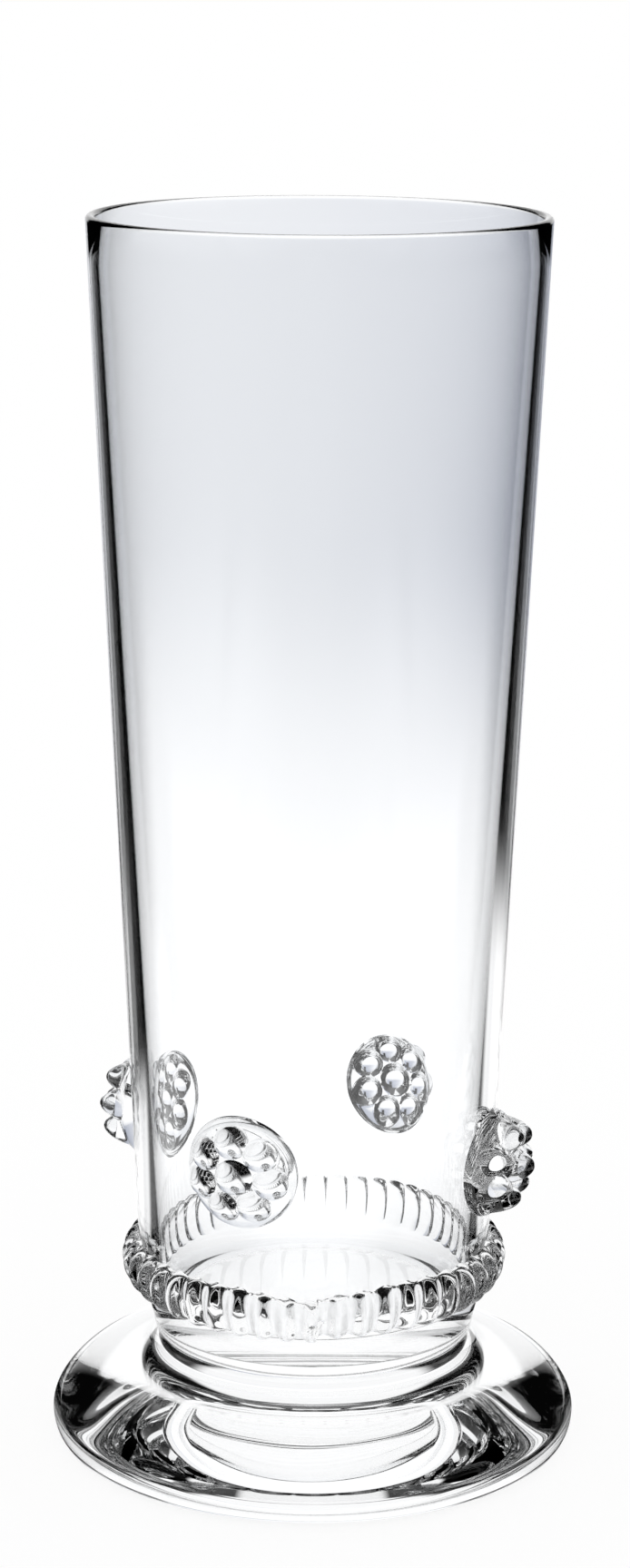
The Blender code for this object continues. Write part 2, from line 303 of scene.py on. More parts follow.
class Skin:
    """Points and faces of one gather. Faces that are fused to a neighbour are kept apart."""

    def __init__(self):
        self.points = []
        self.faces = []
        self.fused = []

    def add(self, points):
        first = len(self.points)
        self.points.extend(tuple(map(float, point)) for point in points)
        return list(range(first, len(self.points)))

    def face(self, corners, fused):
        self.faces.append(tuple(corners))
        self.fused.append(int(fused))

    def band(self, upper, lower, fused=False):
        """Quads between two closed rows of equal length."""
        for index in range(len(upper)):
            self.face((upper[index - 1], lower[index - 1], lower[index], upper[index]), fused)

    def bands(self, rows, fused=False):
        for upper, lower in zip(rows, rows[1:]):
            self.band(upper, lower, fused)

    def cap(self, row, middle, fused=False):
        """Fan of triangles from a closed row to a point."""
        for index in range(len(row)):
            self.face((row[index - 1], row[index], middle), fused)

    def build(self, name, materials):
        """Object with its faces turned out, smooth, and with a material slot for fused faces."""
        mesh = bpy.data.meshes.new(name)
        mesh.from_pydata(self.points, [], self.faces)
        mesh.polygons.foreach_set("material_index", self.fused)
        shape = bmesh.new()
        shape.from_mesh(mesh)
        bmesh.ops.recalc_face_normals(shape, faces=shape.faces)
        shape.to_mesh(mesh)
        shape.free()
        mesh.shade_smooth()
        mesh.set_sharp_from_angle(angle=SHARP_ANGLE)
        for material in materials:
            mesh.materials.append(material)
        obj = bpy.data.objects.new(name, mesh)
        bpy.context.scene.collection.objects.link(obj)
        return obj


def around(turns, radius, heights):
    """Points at turns from the front of the glass, at a radius from its axis."""
    turns, radius, heights = np.broadcast_arrays(turns, radius, heights)
    return np.stack((radius * np.sin(turns), -radius * np.cos(turns), heights), axis=-1)


def full_turn(columns):
    return np.arange(columns) * 2 * math.pi / columns


def arc(middle, radii, start, end, steps):
    """Points (radius, height) along an elliptical arc, angles in degrees from +radius."""
    angles = np.radians(np.linspace(start, end, steps + 1))
    return list(zip(middle[0] + radii[0] * np.cos(angles), middle[1] + radii[1] * np.sin(angles)))


def between(start, end, steps):
    """Values from start to end, both included."""
    return [start + (end - start) * step / steps for step in range(steps + 1)]


def lip_height(sizes):
    return sizes.rim_height - sizes.rim_wall / 2


def base_height(sizes):
    return sizes.seam_height + sizes.base_roll


def outer_radius(sizes, height):
    """Outside of the bowl: a straight cone above the waist that bends in below it."""
    slope = (sizes.rim_radius - sizes.waist_radius) / (lip_height(sizes) - sizes.waist_height)
    depth = sizes.waist_height - base_height(sizes)
    bend = (sizes.waist_radius - slope * depth - sizes.base_radius) / depth**2
    below = np.maximum(sizes.waist_height - height, 0.0)
    return sizes.waist_radius + slope * (height - sizes.waist_height) - bend * below**2


def inner_radius(sizes, height):
    """Inside of the bowl: one straight cone, so the wall thickens towards the base."""
    waist = sizes.waist_radius - sizes.waist_wall
    rise = (height - sizes.waist_height) / (lip_height(sizes) - sizes.waist_height)
    return waist + (sizes.rim_radius - sizes.rim_wall - waist) * rise


def trail_columns(ornament):
    return full_turn(ornament.rib_count * COLUMNS_PER_RIB) + ornament.rib_turn


def from_join(ornament, turns):
    """Turn counted from the join of the trail, between minus and plus half a turn."""
    return (turns - ornament.join_turn + math.pi) % (2 * math.pi) - math.pi


def eased(turns, front, back):
    """A value that passes smoothly from the front of the glass to its back."""
    return front + (back - front) * ((1 - np.cos(turns)) / 2) ** 2


def crease(ornament, turns):
    """1 in the creases between ribs, 0 on their crests: soft in front and sharp behind."""
    across = 2 * ((ornament.rib_count * (turns - ornament.rib_turn) / (2 * math.pi)) % 1.0) - 1
    soft = (1 - np.cos(math.pi * across)) / 2
    sharp = 1 - np.sqrt(np.maximum(1 - across**2, 0.0))
    return eased(turns, soft, sharp)


def trail_edges(ornament, turns):
    """Lower and upper edge of the strip, which sinks on its way round and dips at its join."""
    away = from_join(ornament, turns)
    middle = ornament.trail_middle + ornament.trail_drop * (0.5 - (away / (2 * math.pi)) % 1.0)
    half = ornament.trail_width / 2 - ornament.trail_scallop * crease(ornament, turns)
    dip = ornament.join_dip * np.maximum(1 - np.abs(away) / ornament.join_reach, 0.0)
    return middle - half, middle + half - dip


def pocket(ornament, turns, share_up):
    """Depth of the three-cornered pocket where the ends of the strip meet, 0 to 1."""
    width = ornament.join_width
    across = from_join(ornament, turns) * TRAIL_HIGH.x / width
    up = (share_up - 0.5) * ornament.trail_width / width
    inside = np.full(np.broadcast(across, up).shape, np.inf)
    corners = [(x, y * ornament.trail_width / width) for x, y in JOIN_POCKET]
    for (ax, ay), (bx, by) in zip(corners, corners[1:] + corners[:1]):
        edge = math.hypot(bx - ax, by - ay)
        inside = np.minimum(inside, ((by - ay) * (across - ax) - (bx - ax) * (up - ay)) / edge)
    return np.clip(inside / ornament.join_slope, 0.0, 1.0)


def trail_skin(sizes, ornament):
    """The strip: ribs that stand off the bowl, closed by a seat fused to the wall."""
    skin = Skin()
    turns = trail_columns(ornament)
    low, high = trail_edges(ornament, turns)
    milled = eased(turns, ornament.rib_depth, ornament.rib_back_depth)
    crest = eased(turns, ornament.trail_depth, ornament.trail_back_depth)
    depth = crest - milled * crease(ornament, turns)
    bluntness = eased(turns, ornament.trail_bluntness, ornament.trail_back_bluntness)
    rows = []
    for angle in np.linspace(-math.pi / 2, math.pi / 2, TRAIL_ROWS + 1):
        share_up = (1 + math.sin(angle)) / 2
        whole = depth * max(math.cos(angle), 0.0) ** (2 * bluntness)
        sunk = ornament.join_depth * pocket(ornament, turns, share_up)
        stand_off = np.maximum(whole - sunk, LEAST_DEPTH * whole)
        heights = low + (high - low) * share_up
        rows.append(skin.add(around(turns, outer_radius(sizes, heights) + stand_off, heights)))
    skin.bands(rows)
    seat = [rows[0]]
    for share_up in between(0.0, 1.0, SEAT_ROWS)[1:-1]:
        heights = low + (high - low) * share_up
        seat.append(skin.add(around(turns, outer_radius(sizes, heights), heights)))
    skin.bands(seat + [rows[-1]], fused=True)
    return skin


class Seat:
    """Where a prunt sits on the bowl: its turn from the front, its height and its radius."""

    def __init__(self, node, stamp, lift):
        low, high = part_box(node)
        middle = np.mean([point.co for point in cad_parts[node].data.vertices], axis=0)
        self.node = node
        self.stamp = math.radians(stamp)
        self.lift = lift
        self.turn = math.atan2(middle[0], -middle[1])
        self.height = (low.z + high.z) / 2
        self.radius = (high.z - low.z) / 2

    def on_wall(self, sizes, across, up, stand_off):
        """Points on the bowl's wall, across and up from the middle of the seat."""
        turns = self.turn + across / outer_radius(sizes, self.height)
        heights = self.height + up
        return around(turns, outer_radius(sizes, heights) + stand_off, heights)


def seats():
    """The prunts' seats, each prunt stamped at a turn of its own."""
    return [Seat(node, stamp, lift) for node, (stamp, lift) in PRUNT_STAMPS.items()]


def prunt_angles(ornament):
    return full_turn(ornament.knob_count * PRUNT_SEGMENTS_PER_KNOB)


def knobs(ornament, seat, across, up):
    """Height that the knobs add to the boss: one in the middle and a ring round it."""
    places = [(0.0, 0.0, ornament.middle_knob_radius, ornament.middle_knob_height)]
    for knob in range(ornament.knob_count):
        angle = seat.stamp + 2 * math.pi * knob / ornament.knob_count
        x, y = ornament.knob_ring * math.cos(angle), ornament.knob_ring * math.sin(angle)
        places.append((x, y, ornament.knob_radius, ornament.knob_height))
    raised = np.zeros(np.shape(across))
    for x, y, radius, height in places:
        away = ((across - x) ** 2 + (up - y) ** 2) / radius**2
        raised = np.maximum(raised, height * np.maximum(1 - away, 0.0) ** ornament.knob_fullness)
    return raised


def prunt_relief(ornament, seat, across, up):
    """Height of a prunt above the wall: a boss with a round edge, and knobs on it."""
    out = (np.hypot(across, up) / seat.radius) ** ornament.boss_flatness
    boss = ornament.boss_height * np.sqrt(np.maximum(1 - out, 0.0))
    return seat.lift * (boss + knobs(ornament, seat, across, up))


def prunt_rim(ornament, seat):
    """Across and up of the ring where a prunt meets the wall."""
    angles = prunt_angles(ornament)
    return seat.radius * np.cos(angles), seat.radius * np.sin(angles)


def prunt_skin(sizes, ornament, seat):
    """A stamped prunt: boss and knobs, closed by a seat fused to the wall."""
    skin = Skin()
    rim_across, rim_up = prunt_rim(ornament, seat)
    rows = [skin.add(seat.on_wall(sizes, rim_across, rim_up, 0.0))]
    for ring in range(1, PRUNT_RINGS):
        part = math.cos(math.pi / 2 * ring / PRUNT_RINGS)
        across, up = rim_across * part, rim_up * part
        relief = prunt_relief(ornament, seat, across, up)
        rows.append(skin.add(seat.on_wall(sizes, across, up, relief)))
    tip = prunt_relief(ornament, seat, np.zeros(1), np.zeros(1))
    middle = skin.add(seat.on_wall(sizes, np.zeros(1), np.zeros(1), tip))[0]
    skin.bands(rows)
    skin.cap(rows[-1], middle)
    seat_rows = [rows[0]]
    for part in SEAT_PARTS:
        seat_rows.append(skin.add(seat.on_wall(sizes, rim_across * part, rim_up * part, 0.0)))
    seat_middle = skin.add([seat.on_wall(sizes, 0.0, 0.0, 0.0)])[0]
    skin.bands(seat_rows, fused=True)
    skin.cap(seat_rows[-1], seat_middle, fused=True)
    return skin


def strip_points(sizes, ornament, places, turns):
    """Points of the unrolled strip of wall under the prunts, its fixed edges and their seats."""
    cut = turns[0] - math.pi
    width = sizes.waist_radius
    unrolled = turns - math.pi
    flat, edges = [], []
    for height in (STRIP_LOW, STRIP_HIGH):
        first = len(flat)
        flat.extend((turn * width, height) for turn in [*unrolled, cut + 2 * math.pi])
        edges.extend((index, index + 1) for index in range(first, len(flat) - 1))
    rims = []
    for seat in places:
        across, up = prunt_rim(ornament, seat)
        middle = ((seat.turn - cut) % (2 * math.pi) + cut) * width
        stretch = width / outer_radius(sizes, seat.height)
        rims.append((middle, seat.height, np.max(up)))
        first = len(flat)
        for part in (1.0, *SEAT_PARTS):
            flat.extend(zip(middle + across * stretch * part, seat.height + up * part))
        flat.append((middle, seat.height))
        edges.extend((first + index, first + (index + 1) % len(up)) for index in range(len(up)))
    for height in between(STRIP_LOW, STRIP_HIGH, STRIP_ROWS)[1:-1]:
        for turn in unrolled[::STRIP_COLUMN_STEP]:
            point = (turn * width, height)
            if all(math.dist(point, (x, z)) > reach + SEAT_MARGIN for x, z, reach in rims):
                flat.append(point)
        flat.append(((cut + 2 * math.pi) * width, height))
    return flat, edges, rims


def strip(skin, sizes, ornament, places, upper, lower, turns):
    """Strip of wall between two rows, cut along the rims of the prunts' seats."""
    flat, edges, rims = strip_points(sizes, ornament, places, turns)
    vectors = [Vector(point) for point in flat]
    found = delaunay_2d_cdt(vectors, edges, [], 0, MICRON)
    width = sizes.waist_radius
    start, end = (turns[0] - math.pi) * width, (turns[0] + math.pi) * width
    indices, by_place = [], {}
    columns = len(turns)
    for point, origins in zip(found[0], found[3]):
        x, height = flat[origins[0]] if origins else point
        if abs(x - end) < MICRON:
            x = start
        column = round((x / width - turns[0]) / (2 * math.pi) * columns)
        key = (round(x / MICRON), round(height / MICRON))
        if height == STRIP_LOW:
            indices.append(lower[column % columns])
        elif height == STRIP_HIGH:
            indices.append(upper[column % columns])
        else:
            if key not in by_place:
                place = around(x / width, outer_radius(sizes, height), height)
                by_place[key] = skin.add([place])[0]
            indices.append(by_place[key])
    for corners in found[2]:
        x, z = np.mean([found[0][corner] for corner in corners], axis=0)
        fused = any(math.hypot(x - mx, z - mz) < reach for mx, mz, reach in rims)
        skin.face([indices[corner] for corner in corners], fused)


def bowl_skin(sizes, ornament, places):
    """The bowl: inside, lip and outside, with seams under its ornaments and above the foot."""
    skin = Skin()
    turns = trail_columns(ornament)

    def row(radius, height):
        return skin.add(around(turns, radius, height))

    wall_start = sizes.floor_height + sizes.floor_round
    corner = (inner_radius(sizes, wall_start) - sizes.floor_round, wall_start)
    rows = []
    for step in range(1, FLOOR_ROWS + 1):
        part = step / FLOOR_ROWS
        rows.append(row(corner[0] * part, sizes.floor_height - sizes.floor_dish * (1 - part**2)))
    rows += [row(r, z) for r, z in arc(corner, (sizes.floor_round,) * 2, -90, 0, CORNER_ROWS)[1:]]
    upward = between(wall_start, lip_height(sizes), WALL_ROWS)[1:-1]
    rows += [row(inner_radius(sizes, z), z) for z in upward]
    lip = (sizes.rim_radius - sizes.rim_wall / 2, lip_height(sizes))
    rows += [row(r, z) for r, z in arc(lip, (sizes.rim_wall / 2,) * 2, 180, 0, LIP_ROWS)]
    downward = between(lip_height(sizes), STRIP_HIGH, WALL_ROWS)[1:]
    rows += [row(outer_radius(sizes, z), z) for z in downward]
    middle = skin.add([(0.0, 0.0, sizes.floor_height - sizes.floor_dish)])[0]
    skin.cap(rows[0], middle)
    skin.bands(rows)

    low, high = trail_edges(ornament, turns)
    below = [row(outer_radius(sizes, STRIP_LOW), STRIP_LOW)]
    for part in between(0.0, 1.0, STRIP_TO_TRAIL_ROWS)[1:]:
        heights = STRIP_LOW + (high - STRIP_LOW) * part
        below.append(row(outer_radius(sizes, heights), heights))
    strip(skin, sizes, ornament, places, rows[-1], below[0], turns)
    skin.bands(below)
    covered = [below[-1]]
    for part in between(0.0, 1.0, SEAT_ROWS)[1:]:
        heights = high + (low - high) * part
        covered.append(row(outer_radius(sizes, heights), heights))
    skin.bands(covered, fused=True)

    base = [covered[-1]]
    for part in between(0.0, 1.0, ROLL_ROWS)[1:]:
        heights = low + (base_height(sizes) - low) * part
        base.append(row(outer_radius(sizes, heights), heights))
    roll = (sizes.neck_radius, base_height(sizes))
    rolled = (sizes.base_radius - sizes.neck_radius, sizes.base_roll)
    base += [row(r, z) for r, z in arc(roll, rolled, 0, -90, ROLL_ROWS)[1:]]
    skin.bands(base)
    neck = [base[-1]]
    for radius in between(sizes.neck_radius, 0.0, NECK_ROWS)[1:-1]:
        neck.append(row(radius, sizes.seam_height))
    neck_middle = skin.add([(0.0, 0.0, sizes.seam_height)])[0]
    skin.bands(neck, fused=True)
    skin.cap(neck[-1], neck_middle, fused=True)
    return skin


def foot_skin(sizes):
    """The foot: cove, crown, rolled edge and flat underside, with a seam under the bowl."""
    skin = Skin()
    turns = full_turn(FOOT_COLUMNS)

    def row(radius, height):
        return skin.add(around(turns, radius, height))

    neck = [row(r, sizes.seam_height) for r in between(0.0, sizes.neck_radius, NECK_ROWS)[1:]]
    seam_middle = skin.add([(0.0, 0.0, sizes.seam_height)])[0]
    skin.cap(neck[0], seam_middle, fused=True)
    skin.bands(neck, fused=True)
    flare = (sizes.neck_radius + sizes.flare_reach, sizes.seam_height)
    flared = (sizes.flare_reach, sizes.flare_drop)
    rows = [neck[-1]]
    rows += [row(r, z) for r, z in arc(flare, flared, 180, 270, FLARE_ROWS)[1:]]
    reach = sizes.foot_radius - flare[0]
    rise = sizes.seam_height - sizes.flare_drop - sizes.foot_edge_height
    for step in range(1, CROWN_ROWS + 1):
        angle = math.pi / 2 * (1 - step / CROWN_ROWS)
        out = max(math.cos(angle), 0.0) ** (2 / sizes.crown_power)
        up = max(math.sin(angle), 0.0) ** (2 / sizes.crown_power)
        spread = reach * out
        phases = [folds * turns + pace * spread + start for folds, pace, start in FOOT_WAVES]
        waves = sum(np.sin(phase) for phase in phases)
        none_at_ends = 4 * out * (1 - out)
        wave = sizes.foot_wave * waves * none_at_ends
        rows.append(row(flare[0] + spread, sizes.foot_edge_height + rise * up + wave))
    edge = (sizes.foot_radius - sizes.foot_edge_roll, sizes.foot_edge_height)
    rolled = (sizes.foot_edge_roll, sizes.foot_edge_height)
    rows += [row(r, z) for r, z in arc(edge, rolled, 0, -90, EDGE_ROWS)[1:]]
    rows += [row(r, 0.0) for r in between(edge[0], 0.0, UNDERSIDE_ROWS)[1:-1]]
    skin.bands(rows)
    underside_middle = skin.add([(0.0, 0.0, 0.0)])[0]
    skin.cap(rows[-1], underside_middle)
    return skin


def blown_surface():
    """Node group: height of the soft ripples that blowing and turning leave in glass."""
    name = "blown_surface"
    if name in bpy.data.node_groups:
        return bpy.data.node_groups[name]
    group = bpy.data.node_groups.new(name, "ShaderNodeTree")
    for socket, default in (("Scale", 60.0), ("Stretch", 0.25), ("Amount", 1.0)):
        made = group.interface.new_socket(socket, in_out="INPUT", socket_type="NodeSocketFloat")
        made.default_value = default
    group.interface.new_socket("Height", in_out="OUTPUT", socket_type="NodeSocketFloat")
    nodes, links = group.nodes, group.links
    given = nodes.new("NodeGroupInput")
    result = nodes.new("NodeGroupOutput")
    place = nodes.new("ShaderNodeTexCoord")
    squeeze = nodes.new("ShaderNodeCombineXYZ")
    squeeze.inputs["X"].default_value = 1.0
    squeeze.inputs["Y"].default_value = 1.0
    stretched = nodes.new("ShaderNodeVectorMath")
    stretched.operation = "MULTIPLY"
    noise = nodes.new("ShaderNodeTexNoise")
    noise.inputs["Detail"].default_value = 1.0
    amount = nodes.new("ShaderNodeMath")
    amount.operation = "MULTIPLY"
    links.new(given.outputs["Stretch"], squeeze.inputs["Z"])
    links.new(place.outputs["Object"], stretched.inputs[0])
    links.new(squeeze.outputs["Vector"], stretched.inputs[1])
    links.new(stretched.outputs["Vector"], noise.inputs["Vector"])
    links.new(given.outputs["Scale"], noise.inputs["Scale"])
    links.new(noise.outputs["Fac"], amount.inputs[0])
    links.new(given.outputs["Amount"], amount.inputs[1])
    links.new(amount.outputs["Value"], result.inputs["Height"])
    return group


def clear_glass(name, finish, scale, stretch, amount):
    """Clear glass with its own ripples, which lets lamp light through to the floor."""
    material = bpy.data.materials.new(name)
    material.use_nodes = True
    nodes, links = material.node_tree.nodes, material.node_tree.links
    shader = nodes["Principled BSDF"]
    shader.inputs["Base Color"].default_value = (*finish.tint, 1.0)
    shader.inputs["Roughness"].default_value = 0.0
    shader.inputs["IOR"].default_value = finish.index
    shader.inputs["Transmission Weight"].default_value = 1.0
    ripples = nodes.new("ShaderNodeGroup")
    ripples.node_tree = blown_surface()
    ripples.inputs["Scale"].default_value = scale
    ripples.inputs["Stretch"].default_value = stretch
    ripples.inputs["Amount"].default_value = amount
    bump = nodes.new("ShaderNodeBump")
    bump.inputs["Distance"].default_value = finish.ripple
    links.new(ripples.outputs["Height"], bump.inputs["Height"])
    links.new(bump.outputs["Normal"], shader.inputs["Normal"])
    passing = nodes.new("ShaderNodeBsdfTransparent")
    passing.inputs["Color"].default_value = (*finish.shadow_tint, 1.0)
    path = nodes.new("ShaderNodeLightPath")
    mix = nodes.new("ShaderNodeMixShader")
    links.new(path.outputs["Is Shadow Ray"], mix.inputs["Fac"])
    links.new(shader.outputs["BSDF"], mix.inputs[1])
    links.new(passing.outputs["BSDF"], mix.inputs[2])
    links.new(mix.outputs["Shader"], nodes["Material Output"].inputs["Surface"])
    return material


def fused_seam():
    """Seam inside solid glass: light passes it unbent."""
    name = "fused_seam"
    if name in bpy.data.materials:
        return bpy.data.materials[name]
    material = bpy.data.materials.new(name)
    material.use_nodes = True
    nodes, links = material.node_tree.nodes, material.node_tree.links
    nodes.remove(nodes["Principled BSDF"])
    passing = nodes.new("ShaderNodeBsdfTransparent")
    passing.inputs["Color"].default_value = (*WHITE, 1.0)
    links.new(passing.outputs["BSDF"], nodes["Material Output"].inputs["Surface"])
    return material


def place_piece(skin, name, node, material):
    """Builds a piece, lets it ride on the body and has it stand for its solid."""
    piece = skin.build(name, (material, fused_seam()))
    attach(piece, BODY)
    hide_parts(node)
    return piece


class GLASS_OT_bowl(bpy.types.Operator):
    """Blown bowl with its lip, thick base and seams"""

    bl_idname = "glass.bowl"
    bl_label = "Bowl"

    def execute(self, context):
        scene = context.scene
        skin = bowl_skin(scene.glass_sizes, scene.ornament_sizes, seats())
        glass = clear_glass("bowl_glass", scene.glass_finish, scale=60.0, stretch=0.25, amount=1.0)
        place_piece(skin, "blown_bowl", "bowl", glass)
        return {"FINISHED"}


class GLASS_OT_foot(bpy.types.Operator):
    """Crowned foot with its rolled edge"""

    bl_idname = "glass.foot"
    bl_label = "Foot"

    def execute(self, context):
        scene = context.scene
        glass = clear_glass("foot_glass", scene.glass_finish, scale=45.0, stretch=1.0, amount=0.6)
        place_piece(foot_skin(scene.glass_sizes), "crowned_foot", "foot", glass)
        return {"FINISHED"}


class GLASS_OT_trail(bpy.types.Operator):
    """Milled trail laid round the bowl"""

    bl_idname = "glass.trail"
    bl_label = "Trail"

    def execute(self, context):
        scene = context.scene
        skin = trail_skin(scene.glass_sizes, scene.ornament_sizes)
        glass = clear_glass("trail_glass", scene.glass_finish, scale=150.0, stretch=0.6, amount=1.0)
        place_piece(skin, "milled_trail", "trail_band", glass)
        return {"FINISHED"}


class GLASS_OT_prunts(bpy.types.Operator):
    """Stamped prunts round the bowl"""

    bl_idname = "glass.prunts"
    bl_label = "Prunts"

    def execute(self, context):
        scene = context.scene
        glass = clear_glass("prunt_glass", scene.glass_finish, scale=180.0, stretch=1.0, amount=1.0)
        for seat in seats():
            skin = prunt_skin(scene.glass_sizes, scene.ornament_sizes, seat)
            place_piece(skin, "stamped_" + seat.node, seat.node, glass)
        return {"FINISHED"}


def maths(tree, operation, first, second=None):
    """Math node whose inputs are sockets or numbers. Returns its output."""
    node = tree.nodes.new("ShaderNodeMath")
    node.operation = operation
    for socket, value in zip(node.inputs, (first, second)):
        if isinstance(value, bpy.types.NodeSocket):
            tree.links.new(value, socket)
        elif value is not None:
            socket.default_value = value
    return node.outputs["Value"]


def smooth_step(tree, value, start, end):
    """0 up to the start, 1 past the end."""
    node = tree.nodes.new("ShaderNodeMapRange")
    node.interpolation_type = "SMOOTHSTEP"
    tree.links.new(value, node.inputs["Value"])
    node.inputs["From Min"].default_value = start
    node.inputs["From Max"].default_value = end
    return node.outputs["Result"]


def fade(tree, value, start, end):
    """1 up to the start, 0 past the end."""
    return maths(tree, "SUBTRACT", 1.0, smooth_step(tree, value, start, end))


def soft_edge(place, softness):
    """Start and end of a soft edge about a place, its softness a share of the place."""
    return place * (1 - softness), place * (1 + softness)


def blend(tree, factor, first, second):
    """Mix of two numbers, each a socket or a number."""
    node = tree.nodes.new("ShaderNodeMix")
    tree.links.new(factor, node.inputs["Factor"])
    for socket, value in ((node.inputs["A"], first), (node.inputs["B"], second)):
        if isinstance(value, bpy.types.NodeSocket):
            tree.links.new(value, socket)
        else:
            socket.default_value = value
    return node.outputs["Result"]


def blend_colour(tree, factor, first, second):
    """Mix of two colours, each a socket or a colour."""
    node = tree.nodes.new("ShaderNodeMix")
    node.data_type = "RGBA"
    tree.links.new(factor, node.inputs["Factor"])
    for socket, value in ((node.inputs[MIX_FIRST], first), (node.inputs[MIX_SECOND], second)):
        if isinstance(value, bpy.types.NodeSocket):
            tree.links.new(value, socket)
        else:
            socket.default_value = (*value, 1.0)
    return node.outputs[MIX_RESULT]


class Outlook:
    """What a ray from the glass meets: its bearing from straight behind and how it came."""

    def __init__(self, tree, place):
        self.tree = tree
        split = tree.nodes.new("ShaderNodeSeparateXYZ")
        tree.links.new(place, split.inputs["Vector"])
        self.side, self.back, self.height = split.outputs
        self.aside = maths(tree, "ABSOLUTE", self.side)
        across = maths(tree, "MULTIPLY", self.side, self.side)
        along = maths(tree, "MULTIPLY", self.back, self.back)
        self.distance = maths(tree, "SQRT", maths(tree, "ADD", across, along))
        self.behind = maths(tree, "DIVIDE", self.back, self.distance)
        self.bearing = maths(tree, "ARCTAN2", self.side, self.back)
        path = tree.nodes.new("ShaderNodeLightPath")
        glossy, passed = path.outputs["Is Glossy Ray"], path.outputs["Is Transmission Ray"]
        self.bent = maths(tree, "MAXIMUM", glossy, passed)
        self.mirrored = maths(tree, "MINIMUM", path.outputs["Glossy Depth"], 1.0)

    def lobe(self, full, none):
        """1 within the angle full of straight behind, 0 beyond the angle none."""
        return smooth_step(self.tree, self.behind, math.cos(none), math.cos(full))

    def far_paper(self, studio):
        """Colour of the paper far off, with painted shade on one side."""
        darkened = smooth_step(self.tree, self.bearing, studio.shade_start, studio.shade_end)
        over_begins = studio.shade_over * SHADE_OVER_BEGINS
        over = smooth_step(self.tree, self.bearing, over_begins, studio.shade_over)
        shaded = maths(self.tree, "SUBTRACT", darkened, over)
        return blend_colour(self.tree, shaded, studio.far_colour, studio.shade_colour)

    def petals(self, studio):
        """Petals spread evenly round the glass, dark between them."""
        wave = maths(self.tree, "COSINE", maths(self.tree, "MULTIPLY", self.bearing, PETALS))
        edge = math.cos(PETALS * studio.petal_half_width)
        petal = smooth_step(self.tree, wave, edge - PETAL_SOFTNESS, edge + PETAL_SOFTNESS)
        return maths(self.tree, "MULTIPLY", petal, studio.petal_share)

    def either(self, *masks):
        """The brightest of several masks."""
        brightest = masks[0]
        for mask in masks[1:]:
            brightest = maths(self.tree, "MAXIMUM", brightest, mask)
        return brightest


def studio_world(studio):
    """A white sweep in a dark studio to the glass, and plain white to all else."""
    world = bpy.data.worlds.new("studio")
    world.use_nodes = True
    tree = world.node_tree
    place = tree.nodes.new("ShaderNodeTexCoord")
    look = Outlook(tree, place.outputs["Generated"])
    overhead = smooth_step(tree, look.height, *CEILING_BEGINS)
    top = maths(tree, "MULTIPLY", overhead, studio.ceiling_share)
    petals = maths(tree, "MULTIPLY", look.petals(studio), fade(tree, look.height, *PETALS_END))
    sweep = look.lobe(studio.sweep_half_width, studio.sweep_edge)
    direct = look.either(sweep, petals, top)
    mirrored = look.either(look.lobe(studio.sweep_half_width, studio.sweep_soft_edge), top)
    lit = blend(tree, look.mirrored, direct, mirrored)
    white = blend_colour(tree, look.mirrored, look.far_paper(studio), studio.floor_colour)
    in_glass = blend_colour(tree, lit, studio.dark_colour, white)
    shown = blend_colour(tree, look.bent, WHITE, in_glass)
    tree.links.new(shown, tree.nodes["Background"].inputs["Color"])
    bpy.context.scene.world = world


def painted_direct_light(look, studio):
    """Painted light on the paper as seen through the glass: a lit sweep behind it, petals round it
    and a strip.
    """
    tree = look.tree
    sweep = look.lobe(studio.floor_sweep, studio.floor_sweep_edge)
    grown = smooth_step(tree, look.distance, studio.petal_start, studio.petal_start * PETALS_GROWN)
    petals = maths(tree, "MULTIPLY", look.petals(studio), grown)
    strip = fade(tree, look.aside, *soft_edge(studio.strip_half_width, studio.strip_softness))
    return look.either(sweep, petals, strip)


def painted_light_behind(look, studio):
    """Painted light on the paper behind the glass as mirrored in it: a sweep, wider near by and on
    the right.
    """
    tree = look.tree
    right = smooth_step(tree, look.side, *RIGHT_BEGINS)
    widened = look.either(right, fade(tree, look.distance, *CLOSE_ENDS))
    widest = look.lobe(studio.near_sweep_right, studio.near_sweep_right * NEAR_RIGHT_ENDS)
    wide = look.lobe(studio.near_sweep, studio.near_sweep_edge)
    begun = smooth_step(tree, look.distance, *NEAR_BEGINS)
    ended = smooth_step(tree, look.distance, *soft_edge(studio.near_sweep_end, PAPER_SOFTNESS))
    spread = look.either(maths(tree, "MULTIPLY", widened, widest), wide)
    near = maths(tree, "MULTIPLY", spread, maths(tree, "SUBTRACT", begun, ended))
    return look.either(look.lobe(studio.mirror_sweep, studio.mirror_sweep_edge), near)


def painted_light_before(look, studio):
    """Painted light on the paper in front of the glass as mirrored in it: a strip that widens and
    then ends.
    """
    tree = look.tree
    front = maths(tree, "MULTIPLY", look.back, -1.0)
    strip = fade(tree, look.aside, *soft_edge(studio.mirror_half_width, studio.strip_softness))
    ahead = smooth_step(tree, front, *soft_edge(studio.front_start, PAPER_SOFTNESS))
    sheet = fade(tree, look.aside, *soft_edge(studio.front_half_width, PAPER_SOFTNESS))
    reached = fade(tree, front, *soft_edge(studio.front_end, END_SOFTNESS))
    paper = look.either(strip, maths(tree, "MULTIPLY", ahead, sheet))
    return maths(tree, "MULTIPLY", paper, reached)


